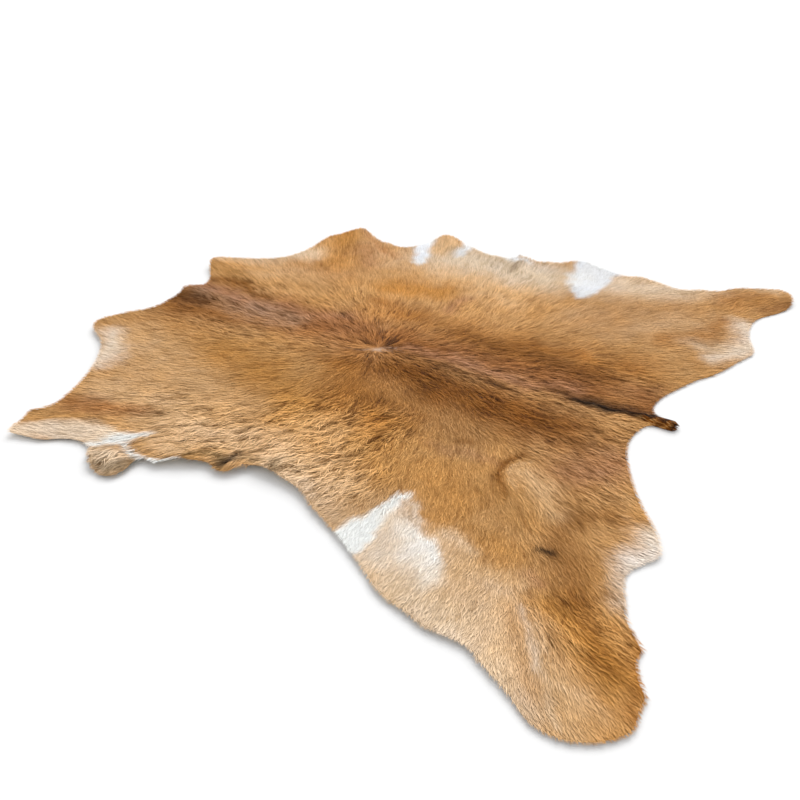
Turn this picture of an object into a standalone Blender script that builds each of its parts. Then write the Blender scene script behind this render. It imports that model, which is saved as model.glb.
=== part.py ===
"""A small cowhide rug, hair on, spread on the floor with its hair side up.

Metres. The back runs along X with the neck at -X and the tail at +X. The side that
the eye sees behind the back is +Y, the floor is z = 0 and +Z is up.
The rug is one hide: neck, legs, flap and tail were cut from the animal in one piece,
so it is one solid. Its skin and the hair pressed down on it are one thickness here.
"""
import math
from collections import namedtuple

import bpy
import numpy as np
from mathutils.geometry import delaunay_2d_cdt

HIDE_THICKNESS = 0.003      # skin with the hair pressed flat on it
TAIL_EXTRA = 0.006          # the tail's skin is rolled up, so it stands higher
EDGE_STEP = 0.012           # spacing of the points along the edge
EDGE_ROW_DEPTH = 0.013      # a row of points this far inside the edge
EDGE_ROW_GAP = 0.011        # the least gap between points of that row
FLAT_STEP = 0.030           # spacing of the points where the hide lies flat
FLAT_GAP = 0.022            # the least gap from those points to all others
FOLD_STEP = 0.013           # spacing of the points along a fold
FOLD_GAP = 0.0035           # the least gap between points on a fold
ROW_SHARES = (0.28, 0.55, 0.8, 1.0)  # rows beside a fold's crest, shares of its reach
CURL_REACH = 0.055          # how far in from the edge a curled edge is felt
CURL_BLEND = 0.004          # smooths the lift between one stretch of edge and the next
HIDE_COLOUR = (0.43, 0.23, 0.09, 1.0)

# The cut edge, one short run after another, round the hide from the neck's far
# corner past the tail and back. along: from neck to tail. across: to the far side.
# lift: how far the edge curls up off the floor, besides the folds below.
Stop = namedtuple("Stop", "along across lift")

FAR_FORELEG = (
    Stop(-0.515, 0.190, 0.007),
    Stop(-0.498, 0.206, 0.006),
    Stop(-0.450, 0.224, 0.006),
    Stop(-0.404, 0.259, 0.005),
    Stop(-0.384, 0.318, 0.004),
    Stop(-0.382, 0.364, 0.005),
    Stop(-0.377, 0.396, 0.006),
    Stop(-0.352, 0.418, 0.005),
    Stop(-0.322, 0.447, 0.004),
    Stop(-0.300, 0.444, 0.004),
    Stop(-0.266, 0.424, 0.004),
)
FAR_BELLY = (
    Stop(-0.224, 0.416, 0.003),
    Stop(-0.192, 0.432, 0.004),
    Stop(-0.168, 0.482, 0.005),
    Stop(-0.150, 0.497, 0.006),
    Stop(-0.128, 0.498, 0.006),
    Stop(-0.075, 0.474, 0.005),
    Stop(-0.030, 0.457, 0.004),
    Stop(0.010, 0.468, 0.004),
    Stop(0.019, 0.489, 0.006),
    Stop(0.036, 0.474, 0.004),
    Stop(0.069, 0.479, 0.003),
    Stop(0.106, 0.492, 0.003),
    Stop(0.135, 0.517, 0.004),
    Stop(0.176, 0.507, 0.004),
    Stop(0.236, 0.488, 0.003),
    Stop(0.262, 0.496, 0.004),
    Stop(0.298, 0.489, 0.003),
)
FAR_HIND_LEG = (
    Stop(0.339, 0.477, 0.002),
    Stop(0.376, 0.494, 0.002),
    Stop(0.404, 0.501, 0.002),
    Stop(0.434, 0.529, 0.003),
    Stop(0.485, 0.550, 0.004),
    Stop(0.511, 0.558, 0.004),
    Stop(0.530, 0.543, 0.004),
    Stop(0.538, 0.520, 0.003),
    Stop(0.536, 0.488, 0.001),
    Stop(0.525, 0.464, 0.000),
    Stop(0.491, 0.417, 0.000),
    Stop(0.485, 0.380, 0.000),
    Stop(0.489, 0.340, 0.000),
    Stop(0.503, 0.291, 0.000),
)
FAR_RUMP = (
    Stop(0.491, 0.259, 0.000),
    Stop(0.455, 0.182, 0.000),
    Stop(0.436, 0.158, 0.000),
    Stop(0.404, 0.095, 0.000),
    Stop(0.394, 0.060, 0.000),
    Stop(0.397, 0.038, 0.000),
)
TAIL = (
    Stop(0.412, 0.022, 0.001),
    Stop(0.430, 0.018, 0.002),
    Stop(0.437, 0.010, 0.002),
    Stop(0.431, 0.003, 0.001),
    Stop(0.412, 0.004, 0.000),
    Stop(0.395, -0.006, 0.000),
)
NEAR_RUMP = (
    Stop(0.386, -0.035, 0.000),
    Stop(0.384, -0.055, 0.000),
    Stop(0.391, -0.091, 0.000),
    Stop(0.413, -0.144, 0.000),
    Stop(0.439, -0.192, 0.001),
    Stop(0.464, -0.229, 0.002),
    Stop(0.477, -0.267, 0.003),
    Stop(0.468, -0.282, 0.002),
    Stop(0.450, -0.308, 0.000),
)
NEAR_HIND_LEG = (
    Stop(0.450, -0.330, 0.000),
    Stop(0.458, -0.352, 0.000),
    Stop(0.463, -0.373, 0.000),
    Stop(0.478, -0.396, 0.001),
    Stop(0.494, -0.417, 0.001),
    Stop(0.489, -0.430, 0.001),
    Stop(0.499, -0.455, 0.001),
    Stop(0.511, -0.474, 0.002),
    Stop(0.508, -0.489, 0.002),
    Stop(0.509, -0.514, 0.002),
    Stop(0.497, -0.532, 0.002),
    Stop(0.472, -0.551, 0.002),
    Stop(0.440, -0.559, 0.002),
    Stop(0.407, -0.552, 0.002),
    Stop(0.384, -0.533, 0.003),
    Stop(0.345, -0.511, 0.004),
    Stop(0.325, -0.498, 0.004),
    Stop(0.275, -0.495, 0.004),
    Stop(0.250, -0.486, 0.004),
)
NEAR_BELLY = (
    Stop(0.208, -0.472, 0.004),
    Stop(0.159, -0.438, 0.004),
    Stop(0.116, -0.411, 0.005),
    Stop(0.060, -0.381, 0.006),
    Stop(0.034, -0.364, 0.008),
    Stop(-0.019, -0.351, 0.009),
    Stop(-0.058, -0.352, 0.008),
    Stop(-0.070, -0.372, 0.005),
    Stop(-0.092, -0.378, 0.005),
    Stop(-0.106, -0.371, 0.008),
    Stop(-0.125, -0.377, 0.009),
    Stop(-0.147, -0.387, 0.009),
    Stop(-0.165, -0.403, 0.008),
    Stop(-0.193, -0.402, 0.006),
)
FLAP = (
    Stop(-0.196, -0.412, 0.004),
    Stop(-0.194, -0.430, 0.002),
    Stop(-0.206, -0.448, 0.001),
    Stop(-0.220, -0.453, 0.001),
    Stop(-0.240, -0.448, 0.001),
    Stop(-0.262, -0.434, 0.002),
    Stop(-0.284, -0.412, 0.003),
)
NEAR_FORELEG = (
    Stop(-0.308, -0.409, 0.003),
    Stop(-0.332, -0.418, 0.003),
    Stop(-0.350, -0.430, 0.003),
    Stop(-0.384, -0.438, 0.003),
    Stop(-0.408, -0.440, 0.003),
    Stop(-0.411, -0.412, 0.004),
    Stop(-0.422, -0.384, 0.005),
    Stop(-0.407, -0.365, 0.005),
    Stop(-0.408, -0.330, 0.005),
    Stop(-0.424, -0.270, 0.005),
    Stop(-0.457, -0.207, 0.006),
    Stop(-0.490, -0.172, 0.006),
)
NECK = (
    Stop(-0.514, -0.160, 0.006),
    Stop(-0.535, -0.140, 0.007),
    Stop(-0.538, -0.118, 0.007),
    Stop(-0.522, -0.082, 0.005),
    Stop(-0.495, -0.045, 0.004),
    Stop(-0.488, -0.015, 0.002),
    Stop(-0.490, 0.012, 0.000),
    Stop(-0.484, 0.044, 0.001),
    Stop(-0.470, 0.078, 0.001),
    Stop(-0.475, 0.105, 0.003),
    Stop(-0.505, 0.146, 0.004),
    Stop(-0.517, 0.170, 0.006),
)
EDGE_RUNS = (FAR_FORELEG, FAR_BELLY, FAR_HIND_LEG, FAR_RUMP, TAIL, NEAR_RUMP,
             NEAR_HIND_LEG, NEAR_BELLY, FLAP, NEAR_FORELEG, NECK)

# The folds. path: where the crest runs. rises: its height at the start, the middle
# and the end. left, right: how far the fold reaches on each side of the path, as one
# walks along it; the short side is the steep one.
Fold = namedtuple("Fold", "name path rises left right")

FOLDS = (
    Fold("flank swell", ((0.285, -0.150), (0.258, -0.185), (0.266, -0.232),
                         (0.300, -0.275), (0.338, -0.300)),
         (0.000, 0.012, 0.000), 0.074, 0.018),
    Fold("hind leg fold", ((0.350, -0.385), (0.366, -0.420), (0.388, -0.463),
                           (0.414, -0.503), (0.436, -0.522)),
         (0.000, 0.009, 0.000), 0.070, 0.020),
    Fold("neck pleat", ((-0.490, 0.046), (-0.430, 0.040), (-0.370, 0.046), (-0.300, 0.052)),
         (0.011, 0.009, 0.000), 0.050, 0.020),
    Fold("neck far ridge", ((-0.512, 0.160), (-0.440, 0.154), (-0.360, 0.130)),
         (0.009, 0.011, 0.000), 0.045, 0.030),
    Fold("foreleg ridge", ((-0.404, -0.426), (-0.355, -0.392), (-0.300, -0.368),
                           (-0.240, -0.352)),
         (0.005, 0.012, 0.000), 0.060, 0.034),
    Fold("flap dome", ((-0.246, -0.426), (-0.226, -0.420), (-0.212, -0.424)),
         (0.009, 0.011, 0.009), 0.032, 0.032),
    Fold("far foreleg fold", ((-0.324, 0.440), (-0.280, 0.385), (-0.215, 0.330)),
         (0.012, 0.011, 0.000), 0.022, 0.070),
    Fold("far belly bump", ((-0.150, 0.494), (-0.120, 0.450), (-0.095, 0.410)),
         (0.008, 0.008, 0.000), 0.040, 0.036),
    Fold("far pucker", ((0.020, 0.400), (0.030, 0.430), (0.040, 0.468)),
         (0.000, 0.007, 0.006), 0.018, 0.014),
    Fold("belly tuck", ((-0.076, -0.362), (-0.072, -0.345), (-0.066, -0.328)),
         (0.007, 0.006, 0.000), 0.016, 0.016),
    Fold("belly wave behind the flap", ((-0.150, -0.382), (-0.132, -0.345), (-0.118, -0.300)),
         (0.004, 0.006, 0.000), 0.032, 0.026),
    Fold("belly wave", ((-0.028, -0.348), (-0.018, -0.315), (-0.012, -0.275)),
         (0.004, 0.006, 0.000), 0.030, 0.032),
    Fold("far hind leg ridge", ((0.400, 0.440), (0.460, 0.486), (0.526, 0.520)),
         (0.000, 0.006, 0.004), 0.040, 0.030),
)
TAIL_PATH = ((0.340, 0.018), (0.390, 0.016), (0.434, 0.010))
TAIL_REACH = 0.013          # half the width of the rolled tail
TAIL_GROWTH = 0.5           # the share of its path over which the roll grows
PATH_STEP = 0.006           # spacing of the points that stand for a fold's path

INNER_TRIANGLES = 1         # the triangulation keeps what lies inside the edge
WELD = 1e-6                 # points closer than this count as one


def spline(rows, step, closed):
    """Points about one step apart on a smooth curve through all rows."""
    rows = np.array(rows, dtype=float)
    count = len(rows)
    out = []
    spans = count if closed else count - 1
    for i in range(spans):
        if closed:
            a, b, c, d = (rows[(i + k) % count] for k in (-1, 0, 1, 2))
        else:
            a, b, c, d = (rows[min(max(i + k, 0), count - 1)] for k in (-1, 0, 1, 2))
        length = np.linalg.norm(c[:2] - b[:2])
        parts = max(1, int(round(length / step)))
        for j in range(parts):
            t = j / parts
            out.append(0.5 * (2 * b + (c - a) * t + (2 * a - 5 * b + 4 * c - d) * t ** 2
                              + (3 * b - a - 3 * c + d) * t ** 3))
    if not closed:
        out.append(rows[-1])
    return np.array(out)


def nearest_on_path(points, path):
    """Distance to the path, share of the way along it, and the side: +1 on its left."""
    starts, ends = path[:-1], path[1:]
    steps = ends - starts
    lengths = np.linalg.norm(steps, axis=1)
    before = np.concatenate([[0.0], np.cumsum(lengths)])
    best = np.full(len(points), 1e9)
    share = np.zeros(len(points))
    side = np.ones(len(points))
    for k in range(len(steps)):
        to = points - starts[k]
        t = np.clip(to @ steps[k] / lengths[k] ** 2, 0.0, 1.0)
        away = to - t[:, None] * steps[k]
        dist = np.linalg.norm(away, axis=1)
        closer = dist < best
        best[closer] = dist[closer]
        share[closer] = ((before[k] + t * lengths[k]) / before[-1])[closer]
        turn = steps[k][0] * to[:, 1] - steps[k][1] * to[:, 0]
        side[closer] = np.where(turn[closer] >= 0, 1.0, -1.0)
    return best, share, side


def ease(share):
    """0 up to 0 and 1 from 1 on, with a soft rise between them."""
    share = np.clip(share, 0.0, 1.0)
    return share ** 2 * (3 - 2 * share)


def fold_height(points):
    """Height of the underside from all folds."""
    height = np.zeros(len(points))
    for fold in FOLDS:
        path = spline(fold.path, PATH_STEP, closed=False)
        dist, share, side = nearest_on_path(points, path)
        away = dist / np.where(side > 0, fold.left, fold.right)
        start, middle, end = fold.rises
        crest = (start + (middle - start) * ease(2 * share)
                 + (end - middle) * ease(2 * share - 1))
        height += crest * ease(1 - away)
    return height


def curl_height(points, edge):
    """Height of the underside from the curled edge."""
    gap = np.linalg.norm(points[:, None, :] - edge[None, :, :2], axis=2)
    nearest = gap.argmin(axis=1)
    dist = gap[np.arange(len(points)), nearest]
    weight = 1.0 / (gap + CURL_BLEND) ** 3
    lift = (weight * edge[None, :, 2]).sum(axis=1) / weight.sum(axis=1)
    return lift * np.maximum(1 - dist / CURL_REACH, 0) ** 2


def thickness(points):
    """True thickness of the hide: the same all over but for the rolled tail."""
    path = spline(TAIL_PATH, PATH_STEP, closed=False)
    dist, share, _ = nearest_on_path(points, path)
    roll = np.sqrt(np.maximum(1 - (dist / TAIL_REACH) ** 2, 0))
    return HIDE_THICKNESS + TAIL_EXTRA * roll * np.clip(share / TAIL_GROWTH, 0, 1)


def fold_rows():
    """Mesh points in rows along each fold, so that its crest and foot come out clean."""
    points = []
    for fold in FOLDS:
        path = spline(fold.path, FOLD_STEP, closed=False)
        along = np.gradient(path, axis=0)
        along /= np.linalg.norm(along, axis=1)[:, None]
        leftward = np.column_stack([-along[:, 1], along[:, 0]])
        for share in ROW_SHARES:
            points.append(path + leftward * share * fold.left)
            points.append(path - leftward * share * fold.right)
        points.append(path)
    return np.vstack(points)


def inside(points, edge):
    """True for the points inside the closed edge."""
    x, y = points[:, 0], points[:, 1]
    odd = np.zeros(len(points), dtype=bool)
    for (ax, ay), (bx, by) in zip(edge[:, :2], np.roll(edge[:, :2], -1, axis=0)):
        if ay == by:
            continue
        crosses = ((ay > y) != (by > y)) & (x < (bx - ax) * (y - ay) / (by - ay) + ax)
        odd ^= crosses
    return odd


def grid(edge):
    """A grid of even triangles that covers the hide."""
    low, high = edge[:, :2].min(axis=0), edge[:, :2].max(axis=0)
    rows = []
    row_step = FLAT_STEP * math.sqrt(3) / 2
    for j in range(int((high[1] - low[1]) / row_step) + 2):
        start = low[0] + (0.5 * FLAT_STEP if j % 2 else 0.0)
        xs = np.arange(start, high[0], FLAT_STEP)
        rows.append(np.column_stack([xs, np.full(len(xs), low[1] + j * row_step)]))
    return np.vstack(rows)


def edge_rows(edge):
    """Mesh points in a row just inside the edge, where it curls."""
    flat = edge[:, :2]
    along = np.roll(flat, -1, axis=0) - np.roll(flat, 1, axis=0)
    along /= np.linalg.norm(along, axis=1)[:, None]
    inward = np.column_stack([along[:, 1], -along[:, 0]])
    return flat + inward * EDGE_ROW_DEPTH


def add_spaced(chosen, points, gap, edge, edge_gap):
    """The chosen points and those new ones that keep clear of them and of the edge."""
    points = points[inside(points, edge)]
    clear = np.linalg.norm(points[:, None, :] - edge[None, :, :2], axis=2).min(axis=1)
    chosen = list(chosen)
    for point in points[clear > edge_gap]:
        if not chosen or np.linalg.norm(np.array(chosen) - point, axis=1).min() > gap:
            chosen.append(point)
    return chosen


def mesh_points(edge):
    """Inner points of the hide: close on folds and at the edge, wide where it is flat."""
    chosen = add_spaced([], fold_rows(), FOLD_GAP, edge, FOLD_GAP)
    chosen = add_spaced(chosen, edge_rows(edge), EDGE_ROW_GAP, edge, EDGE_ROW_GAP)
    chosen = add_spaced(chosen, grid(edge), FLAT_GAP, edge, FLAT_GAP)
    return np.array(chosen)


def hide_mesh():
    """The hide's underside as an open surface, its normals up."""
    rows = [tuple(stop) for run in EDGE_RUNS for stop in run]
    edge = spline(rows, EDGE_STEP, closed=True)
    loop = edge[::-1, :2]
    flat = np.vstack([loop, mesh_points(edge)])
    verts, _, faces, _, _, _ = delaunay_2d_cdt(
        [tuple(p) for p in flat], [], [list(range(len(loop)))], INNER_TRIANGLES, WELD)
    points = np.array([(v[0], v[1]) for v in verts])
    height = fold_height(points) + curl_height(points, edge)
    mesh = bpy.data.meshes.new("hide")
    mesh.from_pydata(np.column_stack([points, height]).tolist(), [], faces)
    if mesh.polygons[0].normal.z < 0:
        mesh.flip_normals()
    mesh.shade_smooth()
    return mesh, points


def add_thickness(hide, points):
    """Thicken the surface upward, more so at the tail."""
    most = HIDE_THICKNESS + TAIL_EXTRA
    group = hide.vertex_groups.new(name="thickness")
    for index, here in enumerate(thickness(points)):
        group.add([index], here / most, "REPLACE")
    solid = hide.modifiers.new("thickness", "SOLIDIFY")
    solid.thickness = most
    solid.offset = 1.0
    solid.vertex_group = group.name
    solid.use_even_offset = True


def coat_material():
    coat = bpy.data.materials.new("hide_coat")
    coat.use_nodes = True
    shader = coat.node_tree.nodes["Principled BSDF"]
    shader.inputs["Base Color"].default_value = HIDE_COLOUR
    shader.inputs["Roughness"].default_value = 0.75
    shader.inputs["Metallic"].default_value = 0.0
    return coat


def centre(hide):
    """Move the finished hide so that the middle of its outline is at the origin."""
    bpy.context.view_layer.update()
    solid = hide.evaluated_get(bpy.context.evaluated_depsgraph_get()).data
    places = np.array([v.co for v in solid.vertices])
    low, high = places.min(axis=0), places.max(axis=0)
    hide.location = (-(low[0] + high[0]) / 2, -(low[1] + high[1]) / 2, -low[2])


def main():
    for old in list(bpy.data.objects):
        bpy.data.objects.remove(old)
    collection = bpy.data.collections.new("cowhide_rug")
    bpy.context.scene.collection.children.link(collection)
    mesh, points = hide_mesh()
    mesh.materials.append(coat_material())
    hide = bpy.data.objects.new("hide", mesh)
    collection.objects.link(hide)
    add_thickness(hide, points)
    centre(hide)


main()
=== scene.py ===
"""Looks of a cowhide rug that lies on a floor: its skin, its fur, the floor, soft light and the camera."""

from math import radians
from typing import NamedTuple

import bmesh
import bpy
import numpy as np
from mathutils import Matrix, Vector
from mathutils.bvhtree import BVHTree
from mathutils.kdtree import KDTree


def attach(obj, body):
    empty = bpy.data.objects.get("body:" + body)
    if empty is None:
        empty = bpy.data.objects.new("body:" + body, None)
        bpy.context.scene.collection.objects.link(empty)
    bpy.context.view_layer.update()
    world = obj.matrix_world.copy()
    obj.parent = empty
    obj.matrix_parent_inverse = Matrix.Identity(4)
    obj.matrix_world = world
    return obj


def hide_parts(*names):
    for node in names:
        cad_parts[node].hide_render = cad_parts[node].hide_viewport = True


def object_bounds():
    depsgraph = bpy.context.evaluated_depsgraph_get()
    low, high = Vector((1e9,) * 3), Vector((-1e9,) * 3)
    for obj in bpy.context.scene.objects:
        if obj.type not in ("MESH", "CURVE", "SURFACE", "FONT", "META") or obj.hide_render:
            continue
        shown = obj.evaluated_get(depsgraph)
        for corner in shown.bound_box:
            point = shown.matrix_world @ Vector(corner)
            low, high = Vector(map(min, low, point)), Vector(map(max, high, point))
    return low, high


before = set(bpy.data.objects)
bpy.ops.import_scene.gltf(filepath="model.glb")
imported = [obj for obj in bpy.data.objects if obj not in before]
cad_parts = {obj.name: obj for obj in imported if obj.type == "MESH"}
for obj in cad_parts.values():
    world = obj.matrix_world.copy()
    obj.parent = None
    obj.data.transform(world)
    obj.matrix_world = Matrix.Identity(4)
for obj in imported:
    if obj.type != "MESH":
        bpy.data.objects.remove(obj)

cad_box = [list(corner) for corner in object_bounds()]

# All lengths are in metres. X runs along the back from the neck to the tail, and the near side is -Y.

SEED = 41
# how far under the solid's top the skin lies, to leave room for the hair
SKIN_DROP = 0.001
# how far up a face looks at least, on the hair side and where hair grows at all
TOP_FACE_MIN = 0.3
HAIR_FACE_MIN = -0.5
# keeps a division from being one by zero
TINY = 1e-9


def linear(colour):
    """The linear values of a colour given from 0 to 255 as it looks on a screen."""
    part = np.asarray(colour, float) / 255
    return np.where(part <= 0.04045, part / 12.92, ((part + 0.055) / 1.055) ** 2.4)


def ease(value):
    """Goes smoothly from 0 to 1 as value goes from 0 to 1."""
    part = np.clip(value, 0, 1)
    return part * part * (3 - 2 * part)


def heading(angle):
    """Steps one metre long at these angles."""
    return np.stack([np.cos(angle), np.sin(angle)], axis=1)


def between(grid, low, high, part):
    """Values of a grid between the cells low and high, at these shares of the way."""
    x, y, right, up = *low.T, *high.T
    near = grid[x, y] * (1 - part[:, 0]) + grid[right, y] * part[:, 0]
    far = grid[x, up] * (1 - part[:, 0]) + grid[right, up] * part[:, 0]
    return near * (1 - part[:, 1]) + far * part[:, 1]


LATTICE = 512


def noise(points, size, seed):
    """Smooth noise from -1 to 1 with bumps about size across."""
    lattice = np.random.default_rng(seed).uniform(-1, 1, (LATTICE, LATTICE))
    cell = points / size + LATTICE / 2
    low = np.floor(cell).astype(int)
    return between(lattice, low % LATTICE, (low + 1) % LATTICE, ease(cell - low))


def layers(points, rows, seed):
    """A sum of noise, with an amount and a size for each layer."""
    return sum(amount * noise(points, size, seed + k) for k, (amount, size) in enumerate(rows))


# The coat's colours, as they look on a screen.

COLOURS = {
    "tan": (188, 138, 82),
    "fawn": (210, 168, 120),
    "beige": (218, 190, 156),
    "dust": (203, 181, 153),
    "cream": (238, 224, 204),
    "warm cream": (240, 214, 182),
    "white": (255, 252, 241),
    # white hair painted a shade greyer, as painted shade, for the far side
    "shaded white": (219, 216, 211),
    "gold": (179, 122, 56),
    "ginger": (158, 101, 42),
    # the back's dark brown, with a pinkish tint that is painted sheen
    "rust": (162, 104, 54),
    # painted sheen: the pinkish light off brown hair
    "brown with painted sheen": (138, 84, 42),
    "painted sheen": (158, 108, 72),
    "umber": (120, 68, 14),
    "sepia": (80, 44, 14),
    "olive": (88, 66, 30),
    "soot": (30, 16, 7),
}


class Patch(NamedTuple):
    """A patch of colour along a chain of circles, each given by its middle and radius.

    It fades out over a strip of a given width, and its border wanders by a share of the usual drift.
    """

    colour: str
    strength: float
    fade: float
    chain: tuple
    wander: float = 1


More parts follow.
